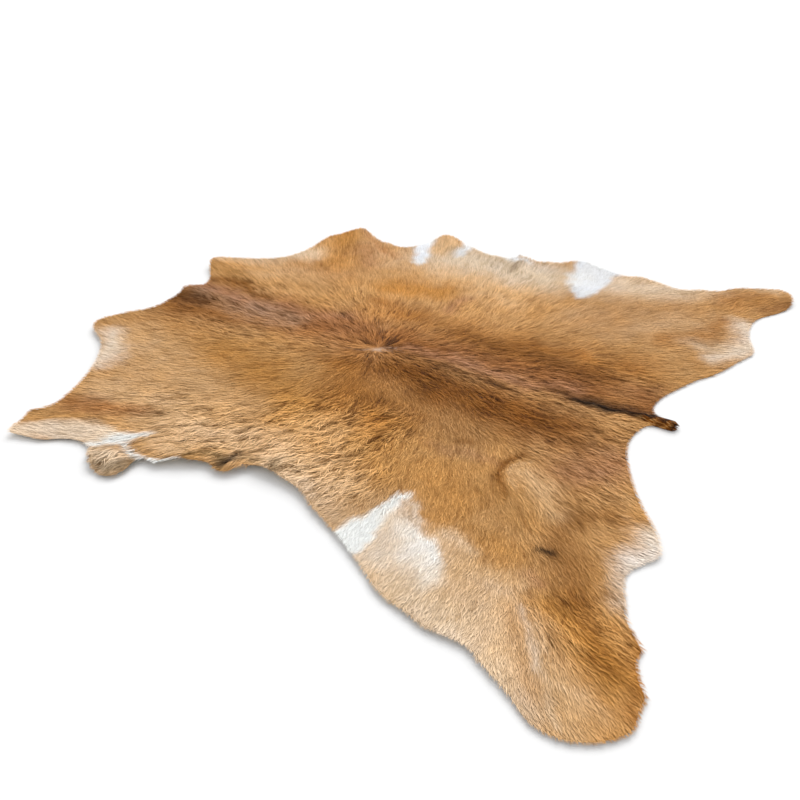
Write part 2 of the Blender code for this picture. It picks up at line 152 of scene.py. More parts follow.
PATCHES = [Patch(*row) for row in (
    # the pale far flank, from the front to the hind leg
    ("fawn", 0.9, 0.08, ((-0.13, 0.38, 0.03), (-0.08, 0.38, 0.07), (0.06, 0.38, 0.07))),
    ("dust", 0.9, 0.1, ((-0.14, 0.42, 0.04), (-0.05, 0.43, 0.06), (0.1, 0.42, 0.06))),
    ("fawn", 0.6, 0.06, ((0.02, 0.3, 0.02), (0.08, 0.28, 0.02))),
    ("beige", 0.9, 0.1, ((0.22, 0.44, 0.05), (0.3, 0.46, 0.05), (0.38, 0.5, 0.03))),
    ("dust", 0.25, 0.08, ((-0.2, 0.36, 0.04), (-0.12, 0.36, 0.03))),
    ("dust", 0.3, 0.1, ((0.24, 0.28, 0.05), (0.38, 0.36, 0.05))),
    ("beige", 0.9, 0.07, ((-0.52, 0.22, 0.03), (-0.44, 0.25, 0.03), (-0.37, 0.29, 0.03))),
    ("fawn", 0.6, 0.08, ((-0.38, 0.2, 0.03), (-0.28, 0.24, 0.02))),
    # the pale near flank, belly and leg
    ("fawn", 0.6, 0.12, ((-0.44, -0.14, 0.05), (-0.34, -0.18, 0.05), (-0.2, -0.22, 0.05))),
    ("fawn", 0.85, 0.08, ((-0.36, -0.29, 0.04), (-0.1, -0.31, 0.04), (0.06, -0.33, 0.04))),
    ("beige", 0.5, 0.06, ((-0.02, -0.335, 0.015), (0.02, -0.345, 0.02), (0.08, -0.38, 0.02))),
    ("beige", 0.9, 0.1, ((0.16, -0.4, 0.04), (0.24, -0.46, 0.05), (0.34, -0.51, 0.04), (0.4, -0.55, 0.02))),
    ("cream", 0.5, 0.05, ((0.165, -0.375, 0.01), (0.19, -0.41, 0.02))),
    ("fawn", 0.8, 0.07, ((0.24, -0.37, 0.03), (0.32, -0.4, 0.03), (0.36, -0.47, 0.03))),
    ("beige", 0.3, 0.1, ((0.16, -0.38, 0.05), (0.3, -0.43, 0.05), (0.37, -0.5, 0.05))),
    ("fawn", 0.9, 0.04, ((0.43, -0.49, 0.02), (0.45, -0.51, 0.025), (0.45, -0.54, 0.02))),
    # pale places by the far edge
    ("fawn", 0.9, 0.04, ((-0.135, 0.48, 0.015), (-0.13, 0.43, 0.02))),
    ("dust", 0.4, 0.06, ((-0.27, 0.46, 0.03), (-0.22, 0.45, 0.03))),
    # gold, ginger and brown fields on the far side
    ("gold", 0.9, 0.05, ((-0.36, 0.43, 0.03), (-0.33, 0.38, 0.03))),
    ("gold", 0.8, 0.06, ((-0.31, 0.34, 0.02), (-0.31, 0.28, 0.03))),
    ("rust", 0.7, 0.03, ((-0.3, 0.43, 0.008), (-0.24, 0.39, 0.006), (-0.2, 0.36, 0.003))),
    ("gold", 1.0, 0.05, ((-0.15, 0.24, 0.03), (-0.05, 0.26, 0.03))),
    ("ginger", 0.8, 0.05, ((-0.14, 0.17, 0.02), (-0.06, 0.16, 0.03))),
    # painted sheen on the far side
    ("painted sheen", 0.7, 0.03, ((-0.01, 0.2, 0.012), (0, 0.26, 0.01))),
    ("gold", 0.45, 0.08, ((0.22, 0.24, 0.04), (0.28, 0.34, 0.03), (0.38, 0.4, 0.03))),
    # painted sheen on the far side
    ("painted sheen", 0.5, 0.06, ((-0.27, 0.36, 0.03), (-0.23, 0.32, 0.02))),
    ("ginger", 0.4, 0.08, ((-0.36, 0.24, 0.03), (-0.25, 0.25, 0.03))),
    ("ginger", 0.7, 0.05, ((0.44, 0.38, 0.01), (0.41, 0.29, 0.015), (0.36, 0.26, 0.01))),
    ("ginger", 0.6, 0.06, ((0.44, 0.47, 0.03), (0.49, 0.5, 0.02))),
    ("beige", 0.6, 0.04, ((0.45, 0.545, 0.015), (0.5, 0.545, 0.012))),
    ("umber", 0.8, 0.04, ((0.53, 0.5, 0.012), (0.51, 0.46, 0.008))),
    # gold, ginger and brown fields on the near side
    ("gold", 0.75, 0.08, ((-0.3, -0.09, 0.03), (-0.18, -0.14, 0.04), (-0.08, -0.18, 0.04))),
    ("ginger", 0.9, 0.08, ((-0.07, -0.05, 0.04), (-0.02, -0.13, 0.05), (0.06, -0.17, 0.04))),
    ("gold", 0.45, 0.08, ((0.1, -0.22, 0.05), (0.2, -0.27, 0.05), (0.24, -0.2, 0.03))),
    ("gold", 0.6, 0.04, ((0.2, -0.33, 0.012), (0.27, -0.33, 0.015), (0.31, -0.34, 0.02))),
    ("rust", 0.8, 0.05, ((-0.39, -0.34, 0.02), (-0.33, -0.33, 0.025), (-0.28, -0.31, 0.015))),
    ("gold", 0.9, 0.06, ((0.4, -0.4, 0.03), (0.48, -0.46, 0.03))),
    ("ginger", 0.8, 0.02, ((0.49, -0.41, 0.008), (0.505, -0.47, 0.006), (0.505, -0.51, 0.006))),
    # the darker back, from the neck to the tail
    # the back's darker brown, whose pinkish tint is painted sheen
    ("brown with painted sheen", 0.9, 0.08,
     ((-0.48, 0.06, 0.04), (-0.2, 0.06, 0.05), (0.1, 0.07, 0.04), (0.36, 0.06, 0.05))),
    ("brown with painted sheen", 0.6, 0.1,
     ((-0.45, -0.01, 0.03), (-0.2, 0.01, 0.02), (0.2, -0.05, 0.05), (0.34, -0.09, 0.06))),
    ("umber", 0.85, 0.08, ((-0.01, -0.02, 0.04), (0.1, -0.05, 0.05), (0.28, -0.06, 0.04))),
    ("ginger", 0.4, 0.06, ((-0.16, -0.05, 0.02), (-0.08, -0.06, 0.02))),
    ("ginger", 0.7, 0.1, ((-0.16, 0.13, 0.02), (0.04, 0.14, 0.04), (0.34, 0.15, 0.03))),
    ("umber", 0.5, 0.05, ((-0.1, 0.06, 0.02), (-0.04, 0.06, 0.03), (0.02, 0.06, 0.02))),
    ("umber", 0.5, 0.08, ((0.02, -0.12, 0.02), (0.1, -0.13, 0.03), (0.18, -0.14, 0.02))),
    ("umber", 0.7, 0.06, ((0.04, 0.12, 0.02), (0.16, 0.12, 0.03), (0.3, 0.1, 0.03))),
    ("sepia", 0.5, 0.04, ((0.18, 0.12, 0.012), (0.28, 0.09, 0.012))),
    ("ginger", 0.6, 0.03, ((0.18, 0.145, 0.01), (0.25, 0.15, 0.012), (0.33, 0.14, 0.01))),
    ("dust", 0.2, 0.06, ((-0.44, 0.05, 0.03), (-0.24, 0.05, 0.03))),
    ("ginger", 0.3, 0.08, ((-0.46, -0.06, 0.03), (-0.36, -0.06, 0.03))),
    ("tan", 0.25, 0.06, ((0.34, 0.06, 0.03), (0.35, -0.08, 0.03))),
    # painted shade on the near slope of a neck ridge
    ("umber", 0.8, 0.03, ((-0.46, 0.12, 0.01), (-0.4, 0.115, 0.012), (-0.33, 0.1, 0.006))),
    # painted shade on the near slope of a neck ridge
    ("sepia", 0.9, 0.03, ((-0.49, 0.01, 0.01), (-0.46, 0.02, 0.014), (-0.42, 0.025, 0.01))),
    ("umber", 0.7, 0.05, ((-0.5, -0.02, 0.02), (-0.4, 0, 0.015), (-0.33, -0.01, 0.005))),
    # painted sheen on the top of a neck ridge, along the back and along the spine
    ("painted sheen", 0.7, 0.04, ((-0.48, 0.08, 0.012), (-0.42, 0.07, 0.015), (-0.36, 0.06, 0.01))),
    ("painted sheen", 0.7, 0.04, ((-0.28, 0.08, 0.01), (-0.16, 0.09, 0.012))),
    ("painted sheen", 0.9, 0.035,
     ((-0.01, 0.05, 0.008), (0.1, 0.04, 0.012), (0.2, 0.025, 0.012), (0.28, 0.05, 0.01))),
    ("sepia", 0.6, 0.02, ((0.03, 0.022, 0.002), (0.1, 0.012, 0.003), (0.2, -0.004, 0.003))),
    # painted sheen on a low ridge of the flank, and on the rump
    ("painted sheen", 0.45, 0.03, ((0.145, -0.18, 0.006), (0.19, -0.184, 0.008), (0.225, -0.188, 0.005))),
    ("painted sheen", 0.7, 0.08, ((0.34, -0.17, 0.03), (0.38, -0.12, 0.03))),
    # the flank swell: painted shade in a crease along its upper side, a painted highlight on its lip, and a
    # pale crown lit as a painted highlight
    ("fawn", 0.8, 0.05, ((0.285, -0.2, 0.02), (0.335, -0.25, 0.015)), 0.6),
    ("umber", 0.9, 0.02,
     ((0.262, -0.146, 0.004), (0.243, -0.178, 0.008), (0.244, -0.212, 0.006), (0.268, -0.248, 0.002)), 0.4),
    ("fawn", 0.7, 0.012,
     ((0.278, -0.16, 0.001), (0.262, -0.184, 0.002), (0.262, -0.212, 0.002), (0.28, -0.238, 0.001)), 0.4),
    ("umber", 0.7, 0.02, ((0.168, -0.155, 0.005), (0.18, -0.155, 0.004)), 0.8),
    # painted highlight and painted sheen on short ridges by the near white patch and the leg
    ("beige", 0.6, 0.025, ((0.235, -0.35, 0.005), (0.27, -0.352, 0.004)), 0.8),
    ("painted sheen", 0.6, 0.025, ((0.347, -0.362, 0.006), (0.366, -0.374, 0.006)), 0.8),
    # zones on the near hind leg, the foreleg's crest, the flap and the belly tuck
    ("umber", 0.65, 0.06, ((0.35, -0.28, 0.012), (0.37, -0.32, 0.022), (0.41, -0.375, 0.015))),
    ("umber", 0.6, 0.05, ((0.41, -0.385, 0.012), (0.445, -0.425, 0.012), (0.47, -0.455, 0.006))),
    ("umber", 0.6, 0.05, ((0.4, -0.22, 0.01), (0.36, -0.25, 0.015))),
    ("sepia", 0.6, 0.02, ((-0.3, -0.325, 0.003), (-0.255, -0.305, 0.004))),
    ("beige", 0.9, 0.04, ((-0.265, -0.415, 0.018), (-0.215, -0.425, 0.024))),
    ("fawn", 0.9, 0.05, ((-0.25, -0.33, 0.015), (-0.17, -0.36, 0.02))),
    ("olive", 0.7, 0.02, ((-0.235, -0.44, 0.005), (-0.205, -0.435, 0.008), (-0.195, -0.41, 0.006))),
    ("olive", 0.9, 0.02, ((-0.145, -0.372, 0.003), (-0.118, -0.358, 0.004), (-0.095, -0.352, 0.006))),
    ("soot", 1.0, 0.016, ((-0.086, -0.332, 0.006), (-0.082, -0.345, 0.009), (-0.086, -0.362, 0.008)), 0.6),
    ("olive", 0.8, 0.02, ((-0.067, -0.338, 0.003), (-0.045, -0.328, 0.004), (-0.022, -0.335, 0.005))),
    # the near hind leg's fold: a painted highlight on its lip, with painted shade in a crease on its left
    ("gold", 0.4, 0.03,
     ((0.348, -0.425, 0.006), (0.366, -0.455, 0.008), (0.392, -0.5, 0.008), (0.408, -0.52, 0.004)), 0.4),
    ("cream", 0.35, 0.012,
     ((0.358, -0.418, 0.002), (0.376, -0.448, 0.001), (0.386, -0.468, 0.003), (0.398, -0.488, 0.004)), 0.4),
    ("beige", 0.5, 0.014, ((0.398, -0.488, 0.003), (0.417, -0.5, 0.002), (0.435, -0.503, 0.001)), 0.4),
    ("beige", 0.6, 0.014, ((0.418, -0.508, 0.001), (0.428, -0.528, 0.004), (0.441, -0.545, 0.002)), 0.4),
    # cream corners and the near foreleg
    ("cream", 0.9, 0.06,
     ((0.45, -0.23, 0.012), (0.47, -0.26, 0.02), (0.455, -0.3, 0.018), (0.475, -0.35, 0.02))),
    ("cream", 0.75, 0.06,
     ((0.47, 0.39, 0.012), (0.49, 0.33, 0.02), (0.48, 0.27, 0.02), (0.45, 0.24, 0.01))),
    ("beige", 0.7, 0.06, ((0.45, 0.28, 0.02), (0.41, 0.27, 0.012))),
    ("cream", 0.75, 0.06, ((-0.49, -0.15, 0.012), (-0.45, -0.18, 0.02), (-0.43, -0.23, 0.012))),
    ("warm cream", 0.85, 0.02,
     ((-0.41, -0.445, 0.01), (-0.37, -0.42, 0.014), (-0.33, -0.4, 0.018), (-0.28, -0.375, 0.014)), 0.6),
    ("fawn", 0.6, 0.03, ((-0.44, -0.46, 0.01), (-0.41, -0.443, 0.008)), 0.6),
    # white patches on the near side, with cream beside them
    ("white", 1.0, 0.014,
     ((0.157, -0.308, 0.006), (0.146, -0.345, 0.013), (0.136, -0.382, 0.022), (0.135, -0.415, 0.024))),
    ("cream", 0.6, 0.016, ((0.157, -0.308, 0.004), (0.177, -0.32, 0.004), (0.195, -0.34, 0.003))),
    ("cream", 0.6, 0.04, ((0.165, -0.345, 0.015), (0.19, -0.36, 0.015))),
    ("cream", 0.9, 0.035, ((0.185, -0.358, 0.006), (0.215, -0.385, 0.018), (0.245, -0.42, 0.014))),
    ("white", 0.8, 0.025, ((0.2, -0.358, 0.003), (0.225, -0.374, 0.005), (0.242, -0.398, 0.005))),
    ("white", 1.0, 0.016,
     ((-0.285, -0.395, 0.006), (-0.262, -0.378, 0.01), (-0.242, -0.362, 0.01), (-0.23, -0.35, 0.005))),
    ("white", 1.0, 0.01,
     ((-0.245, -0.383, 0.004), (-0.205, -0.394, 0.006), (-0.17, -0.396, 0.006), (-0.145, -0.386, 0.004))),
    # white patches on the far side, in a white painted a shade greyer as painted shade, and a dark gap by
    # one
    ("shaded white", 1.0, 0.02, ((-0.19, 0.49, 0.03), (-0.175, 0.43, 0.018), (-0.155, 0.36, 0.012))),
    ("shaded white", 0.9, 0.02, ((-0.095, 0.5, 0.018), (-0.09, 0.44, 0.009))),
    ("shaded white", 0.9, 0.02, ((0, 0.5, 0.025), (0.02, 0.46, 0.012), (0.05, 0.46, 0.006))),
    ("shaded white", 1.0, 0.02, ((0.18, 0.54, 0.065), (0.175, 0.46, 0.04), (0.18, 0.38, 0.022))),
    ("shaded white", 0.9, 0.03, ((0.22, 0.5, 0.02), (0.25, 0.515, 0.015))),
    ("sepia", 0.55, 0.012, ((0.022, 0.395, 0.001), (0.038, 0.445, 0.004)), 0.6),
    # the dark tail stripe and small marks
    ("sepia", 0.9, 0.03, ((0.24, 0.032, 0.004), (0.4, 0.02, 0.014)), 0.8),
    ("soot", 1.0, 0.016,
     ((0.285, 0.021, 0.006), (0.33, 0.013, 0.008), (0.38, 0.018, 0.006), (0.44, 0.012, 0.02)), 0.5),
    ("umber", 0.6, 0.01, ((0.345, 0.02, 0.001), (0.4, 0.022, 0.002), (0.43, 0.018, 0.002)), 0.8),
    ("soot", 0.95, 0.012, ((0.346, -0.32, 0.004), (0.364, -0.321, 0.005)), 0.6),
    ("sepia", 0.9, 0.014, ((-0.046, 0.072, 0.003), (-0.046, 0.036, 0.004), (-0.01, 0.022, 0.003)), 0.6),
    ("cream", 0.5, 0.01, ((-0.06, 0.018, 0.001), (-0.056, 0.019, 0.001)), 0.5),
)]

# noise in layers, each with an amount and a size
BORDER_DRIFT = ((0.010, 0.040), (0.005, 0.012))
BLOTCHES = ((0.08, 0.060), (0.07, 0.020))
WARMTH = ((0.10, 0.045), (0.07, 0.016))
# how red, green and blue change where the coat is warmer
WARM_TURN = np.array((0.2, -0.2, -1.2))
# Hair shades itself, so its own colour is lighter than what shows.
COAT_GAIN = np.array((1.23, 1.28, 1.37))
COAT_MOST = 1.0
# how much evener light hair is than dark hair
PALE_EVEN = 0.8


def chain_distance(points, chain):
    """How far each point is outside the nearest circle of a chain."""
    best = np.full(len(points), np.inf)
    rows = np.asarray(chain, float)
    for start, end in zip(rows[:-1], rows[1:]):
        step = end[:2] - start[:2]
        share = np.clip(((points - start[:2]) @ step) / max(step @ step, TINY), 0, 1)
        gap = np.hypot(*(points - start[:2] - share[:, None] * step).T)
        best = np.minimum(best, gap - start[2] - share * (end[2] - start[2]))
    return best


def coat_colour(points):
    """The coat's linear colour at each point of the plan."""
    drift = np.stack([layers(points, BORDER_DRIFT, seed) for seed in (11, 13)], axis=1)
    colour = np.tile(linear(COLOURS["tan"]), (len(points), 1))
    for patch in PATCHES:
        gap = chain_distance(points + patch.wander * drift, patch.chain)
        share = patch.strength * ease(0.5 - gap / patch.fade)
        colour += share[:, None] * (linear(COLOURS[patch.colour]) - colour)
    light = colour.mean(axis=1)
    blotches = layers(points, BLOTCHES, seed=15)
    warmth = layers(points, WARMTH, seed=17) * (1 - light)
    colour *= COAT_GAIN * np.exp(blotches * (1 - PALE_EVEN * light))[:, None]
    colour *= np.exp(warmth[:, None] * WARM_TURN)
    most = colour.max(axis=1, keepdims=True)
    return colour * np.minimum(1, COAT_MOST / most)


class Stroke(NamedTuple):
    """The way the hair lies at a place: an angle in degrees, from +X towards +Y."""

    x: float
    y: float
    angle: float


STROKES = [Stroke(*row) for row in (
    # near side
    (-0.05, -0.05, -95), (-0.05, -0.15, -110), (-0.05, -0.25, -115), (0.05, -0.02, -40),
    (0.05, -0.15, -115), (0.05, -0.3, -105), (0.15, -0.22, -75), (0.22, -0.3, -75),
    (0.23, -0.2, -70), (0.3, -0.35, -75), (0.22, -0.42, -95), (0.3, -0.45, -85),
    (0.38, -0.47, -65), (0.35, -0.3, -45), (0.42, -0.42, -27), (0.47, -0.45, -27),
    (0.45, -0.52, -45), (0.3, -0.13, -12), (0.3, -0.21, -30), (0.4, -0.15, -22),
    (0.45, -0.25, -10), (0.35, -0.05, -10), (0.2, -0.05, -15), (0.12, -0.1, -60),
    # far side
    (-0.05, 0.1, 92), (-0.05, 0.2, 100), (-0.05, 0.35, 105), (-0.15, 0.2, 120),
    (-0.2, 0.35, 118), (-0.15, 0.45, 105), (-0.3, 0.3, 122), (-0.35, 0.42, 115),
    (-0.4, 0.25, 142), (-0.45, 0.15, 155), (-0.3, 0.15, 150), (-0.2, 0.1, 160),
    (-0.3, 0.05, 178), (-0.45, 0.05, 180), (-0.2, 0.03, 180), (0.05, 0.2, 85),
    (0.05, 0.4, 95), (0.15, 0.3, 75), (0.15, 0.45, 85), (0.25, 0.35, 60),
    (0.25, 0.2, 50), (0.35, 0.4, 45), (0.45, 0.5, 50), (0.42, 0.35, 35),
    (0.35, 0.25, 25), (0.46, 0.3, 10), (0.15, 0.1, 20), (0.3, 0.1, 5),
    (0.2, 0.03, 0), (0.38, 0.02, 0),
    # the front of the near side
    (-0.2, -0.05, -165), (-0.35, -0.05, -175), (-0.45, -0.1, -175), (-0.3, -0.15, -160),
    (-0.15, -0.12, -135), (-0.15, -0.22, -130), (-0.25, -0.25, -150), (-0.4, -0.2, -165),
    (-0.35, -0.3, -155), (-0.4, -0.35, -150), (-0.38, -0.41, -160), (-0.3, -0.37, -150),
    (-0.2, -0.35, -125), (-0.23, -0.42, -95), (-0.1, -0.33, -110), (0, -0.33, -105),
)]
STROKE_REACH = 0.03
WHORL = (-0.058, 0.018)
WHORL_REACH = 0.07
WHORL_PULL = 60


class Zone(NamedTuple):
    """A round place on the hide, fading out at its edge, and how much of something it has."""

    x: float
    y: float
    radius: float
    amount: float


# where the hair is longer and lies less flat
SHAGGY = [Zone(*row) for row in (
    (-0.02, -0.27, 0.1, 1.0), (-0.13, -0.3, 0.08, 0.8), (0.08, -0.31, 0.06, 0.7),
    (-0.23, -0.41, 0.05, 0.8), (0, 0.46, 0.1, 0.4), (0.03, -0.16, 0.05, 0.4),
)]
# where the dark gaps between the locks, painted shade, show more, or less where the amount is below 0
STREAKY = [Zone(*row) for row in (
    (-0.02, -0.24, 0.1, 2.8), (0.04, -0.18, 0.06, 2.6), (-0.14, -0.3, 0.08, 2.2),
    (0.06, -0.29, 0.06, 2.2), (-0.24, -0.3, 0.07, 1.0), (-0.22, -0.43, 0.05, 1.4),
    (-0.35, 0.03, 0.12, 0.7), (-0.15, 0.05, 0.12, 1.2), (-0.05, 0.03, 0.06, 2.0),
    (0.05, 0.04, 0.09, 1.6), (0.2, 0.02, 0.1, 1.6), (0.3, 0.08, 0.08, 1.2),
    (0.1, 0.22, 0.12, 0.3), (0.32, -0.06, 0.1, 1.2), (0.38, -0.14, 0.08, 0.9),
    (0.43, -0.41, 0.06, 0.9), (0.44, -0.52, 0.06, -0.5), (0.36, -0.45, 0.05, -0.3),
    (0.15, -0.38, 0.05, -0.6), (0.16, 0.45, 0.06, -0.6), (0.25, 0.33, 0.12, -0.25),
    (-0.12, 0.33, 0.12, -0.25), (0.23, -0.4, 0.04, -0.3),
)]


def zone_amount(points, zones):
    """How much of something each point has, the most and the least of the zones that reach it."""
    most = np.zeros(len(points))
    least = np.zeros(len(points))
    for zone in zones:
        gap = np.hypot(points[:, 0] - zone.x, points[:, 1] - zone.y)
        share = zone.amount * ease(1.5 - gap / zone.radius)
        most, least = np.maximum(most, share), np.minimum(least, share)
    return most + least


STREAK_REACH = 3.2
STREAK_STEPS = 3


def streaks(points, angle, width, seed):
    """Noise drawn out along the hair, evened to a spread of 1. It is high on a lock and low in a gap."""
    total = np.zeros(len(points))
    for step in range(-STREAK_STEPS, STREAK_STEPS + 1):
        shift = step * STREAK_REACH * width / STREAK_STEPS
        total += noise(points + shift * heading(angle), width, seed)
    return total / total.std()


# how far the hair sways over a wide and over a narrow stretch, in degrees, and the size of both
SWAY = 10
SWAY_SIZE = 0.032
STRAY = 12
STRAY_SIZE = 0.013
SHAGGY_STRAY = 1.2


def comb(points):
    """The angle in radians along which the hair lies at each point of the plan."""
    away = points - np.asarray(WHORL)
    distance = np.hypot(*away.T)
    flow = away / np.maximum(distance, TINY)[:, None]
    flow *= (WHORL_PULL * np.exp(-((distance / WHORL_REACH) ** 2)) / STROKE_REACH**2)[:, None]
    for row in STROKES:
        gap = (points[:, 0] - row.x) ** 2 + (points[:, 1] - row.y) ** 2
        weight = (STROKE_REACH**2 / (gap + STROKE_REACH**2)) ** 2 / STROKE_REACH**2
        flow[:, 0] += weight * np.cos(radians(row.angle))
        flow[:, 1] += weight * np.sin(radians(row.angle))
    angle = np.arctan2(flow[:, 1], flow[:, 0])
    angle += radians(SWAY) * noise(points, SWAY_SIZE, seed=21)
    stray = radians(STRAY) * (1 + SHAGGY_STRAY * zone_amount(points, SHAGGY))
    return angle + stray * noise(points, STRAY_SIZE, seed=22)


class Fold(NamedTuple):
    """A soft ridge of a given height along a chain of circles, or a trough where the height is below 0.

    It dies away over a strip of a given width.
    """

    height: float
    fade: float
    chain: tuple


FOLDS = [Fold(*row) for row in (
    # the near hind leg: the lip of its long fold, the crease beside it, and two short ridges
    (0.005, 0.016,
     ((0.375, -0.42, 0.004), (0.392, -0.452, 0.005), (0.404, -0.474, 0.005), (0.424, -0.5, 0.003))),
    (-0.0015, 0.014, ((0.352, -0.425, 0.002), (0.37, -0.458, 0.003), (0.394, -0.498, 0.002))),
    (0.0035, 0.016, ((0.432, -0.5, 0.002), (0.443, -0.526, 0.003), (0.45, -0.542, 0.002))),
    (0.0025, 0.03, ((0.352, -0.365, 0.004), (0.372, -0.378, 0.004))),
    # the flank: a crescent-shaped crease with a swell behind it, and two short ridges
    (0.0045, 0.022,
     ((0.285, -0.165, 0.006), (0.275, -0.195, 0.01), (0.29, -0.23, 0.01), (0.32, -0.25, 0.008))),
    (-0.0015, 0.014,
     ((0.262, -0.148, 0.002), (0.246, -0.18, 0.003), (0.247, -0.214, 0.003), (0.268, -0.246, 0.001))),
    (0.0025, 0.024, ((0.145, -0.176, 0.002), (0.19, -0.18, 0.005), (0.225, -0.186, 0.003))),
    (0.002, 0.024, ((0.235, -0.35, 0.003), (0.27, -0.352, 0.003))),
    # the near foreleg's crest, and two ridges on the neck
    (0.003, 0.02,
     ((-0.395, -0.418, 0.002), (-0.373, -0.398, 0.004), (-0.349, -0.378, 0.004), (-0.296, -0.358, 0.002))),
    (0.0025, 0.026, ((-0.46, 0.05, 0.006), (-0.38, 0.045, 0.004))),
    (0.0025, 0.03, ((-0.45, 0.15, 0.006), (-0.36, 0.125, 0.006), (-0.3, 0.115, 0.002))),
    # the belly: short puckers along its edge
    (0.003, 0.016, ((-0.066, -0.352, 0.004), (-0.062, -0.335, 0.003))),
    (0.0025, 0.016, ((-0.104, -0.345, 0.004), (-0.096, -0.33, 0.003))),
    (0.002, 0.02, ((-0.15, -0.35, 0.005), (-0.135, -0.32, 0.004))),
    (0.002, 0.02, ((0.02, -0.32, 0.005), (0.03, -0.29, 0.004))),
    # the far side: low waves that run up to the edge
    (0.003, 0.04, ((-0.24, 0.42, 0.006), (-0.22, 0.34, 0.006))),
    (0.003, 0.04, ((-0.03, 0.46, 0.008), (-0.02, 0.36, 0.008), (-0.03, 0.28, 0.004))),
    (0.003, 0.04, ((0.09, 0.46, 0.008), (0.08, 0.36, 0.006))),
    (0.0025, 0.04, ((0.28, 0.36, 0.008), (0.25, 0.27, 0.006), (0.2, 0.2, 0.004))),
)]
FOLD_WANDER = 0.004
FOLD_WANDER_SIZE = 0.02
FOLD_UNEVEN = 0.25
FOLD_UNEVEN_SIZE = 0.018


def fold_height(points):
    """How far the folds raise the hide at each point of the plan."""
    total = np.zeros(len(points))
    drifted = points + FOLD_WANDER * noise(points, FOLD_WANDER_SIZE, seed=31)[:, None]
    for fold in FOLDS:
        total += fold.height * ease(0.5 - chain_distance(drifted, fold.chain) / fold.fade)
    return total * (1 + FOLD_UNEVEN * noise(points, FOLD_UNEVEN_SIZE, seed=32))


MERGE_GAP = 0.00002


def joined_mesh(hide):
    """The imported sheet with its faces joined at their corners."""
    mesh = bmesh.new()
    mesh.from_mesh(hide.data)
    bmesh.ops.remove_doubles(mesh, verts=mesh.verts, dist=MERGE_GAP)
    mesh.normal_update()
    return mesh


MAP_STEP = 0.004
MAP_MARGIN = 0.048
# the last place in a map is one cell and a little more before its size
MAP_END = 1.001
EDGE_SAMPLE = 0.002
SPREAD_ROUNDS = 14
RAY_START = 0.05
# a second ray beside the first, for one that runs along an edge between two faces
RAY_NUDGES = (0, 0.0001)


class Ground:
    """Maps of the hide over the plan: how high its hair side is, and how far a point is from its edge."""

    def __init__(self, hide):
        mesh = joined_mesh(hide)
        self.low = np.asarray(cad_box[0][:2]) - MAP_MARGIN
        span = np.asarray(cad_box[1][:2]) + MAP_MARGIN - self.low
        self.shape = tuple(np.ceil(span / MAP_STEP).astype(int) + 1)
        tree = BVHTree.FromBMesh(mesh)
        outline = self.outline_tree(mesh)
        self.height = np.zeros(self.shape)
        self.edge = np.zeros(self.shape)
        above = cad_box[1][2] + RAY_START
        for cell in np.ndindex(self.shape):
            x, y = self.low + MAP_STEP * np.array(cell)
            gap = outline.find(Vector((x, y, 0)))[2]
            place = None
            for nudge in RAY_NUDGES:
                place = place or tree.ray_cast(Vector((x + nudge, y + nudge, above)), Vector((0, 0, -1)))[0]
            self.edge[cell] = gap if place else -gap
            self.height[cell] = place.z if place else np.nan
        mesh.free()
        self.spread_height()
        rows, columns = np.indices(self.shape)
        plan = self.low + MAP_STEP * np.column_stack([rows.ravel(), columns.ravel()])
        self.height += fold_height(plan).reshape(self.shape)

    @staticmethod
    def outline_tree(mesh):
        """Points close together along the edge of the faces that look up."""
        spots = []
        for edge in mesh.edges:
            looks_up = [f.normal.z > TOP_FACE_MIN for f in edge.link_faces]
            if sum(looks_up) != 1:
                continue
            start, end = (Vector((v.co.x, v.co.y, 0)) for v in edge.verts)
            count = max(1, int((end - start).length / EDGE_SAMPLE))
            spots.extend(start.lerp(end, k / count) for k in range(count))
        tree = KDTree(len(spots))
        for number, spot in enumerate(spots):
            tree.insert(spot, number)
        tree.balance()
        return tree

    def spread_height(self):
        """Carries the height of the edge on outwards, where there is no hide."""
        for _ in range(SPREAD_ROUNDS):
            known = ~np.isnan(self.height)
            total = np.zeros(self.shape)
            count = np.zeros(self.shape)
            filled = np.where(known, self.height, 0)
            for step in ((1, 0), (-1, 0), (0, 1), (0, -1)):
                total += np.roll(filled, step, (0, 1))
                count += np.roll(known, step, (0, 1))
            fresh = ~known & (count > 0)
            self.height[fresh] = total[fresh] / count[fresh]
        self.height[np.isnan(self.height)] = 0

    def sample(self, values, points):
        """The value of a map at each point."""
        cell = np.clip((points - self.low) / MAP_STEP, 0, np.array(self.shape) - MAP_END)
        low = cell.astype(int)
        return between(values, low, low + 1, cell - low)

    def heights(self, points):
        """How high the hair side is at each point."""
        return self.sample(self.height, points)

    def edges(self, points):
        """How far each point is inside the edge, below 0 outside."""
        return self.sample(self.edge, points)

    def upward(self, points):
        """The way out of the hair side at each point."""
        dx, dy = changes(self.heights, points)
        normals = np.stack([-dx, -dy, np.full(len(points), 2 * MAP_STEP)], axis=1)
        return normals / np.linalg.norm(normals, axis=1, keepdims=True)

    def inward(self, points):
        """The way in from the edge at each point."""
        dx, dy = changes(self.edges, points)
        return np.stack([dx, dy], axis=1) / np.maximum(np.hypot(dx, dy), TINY)[:, None]


def changes(values, points):
    """How much a map's values change around each point, along X and along Y, over two of its steps."""
    return [values(points + step) - values(points - step) for step in MAP_STEP * np.eye(2)]


def add_object(name, data):
    """A new object in the scene."""
    made = bpy.data.objects.new(name, data)
    bpy.context.scene.collection.objects.link(made)
    return made


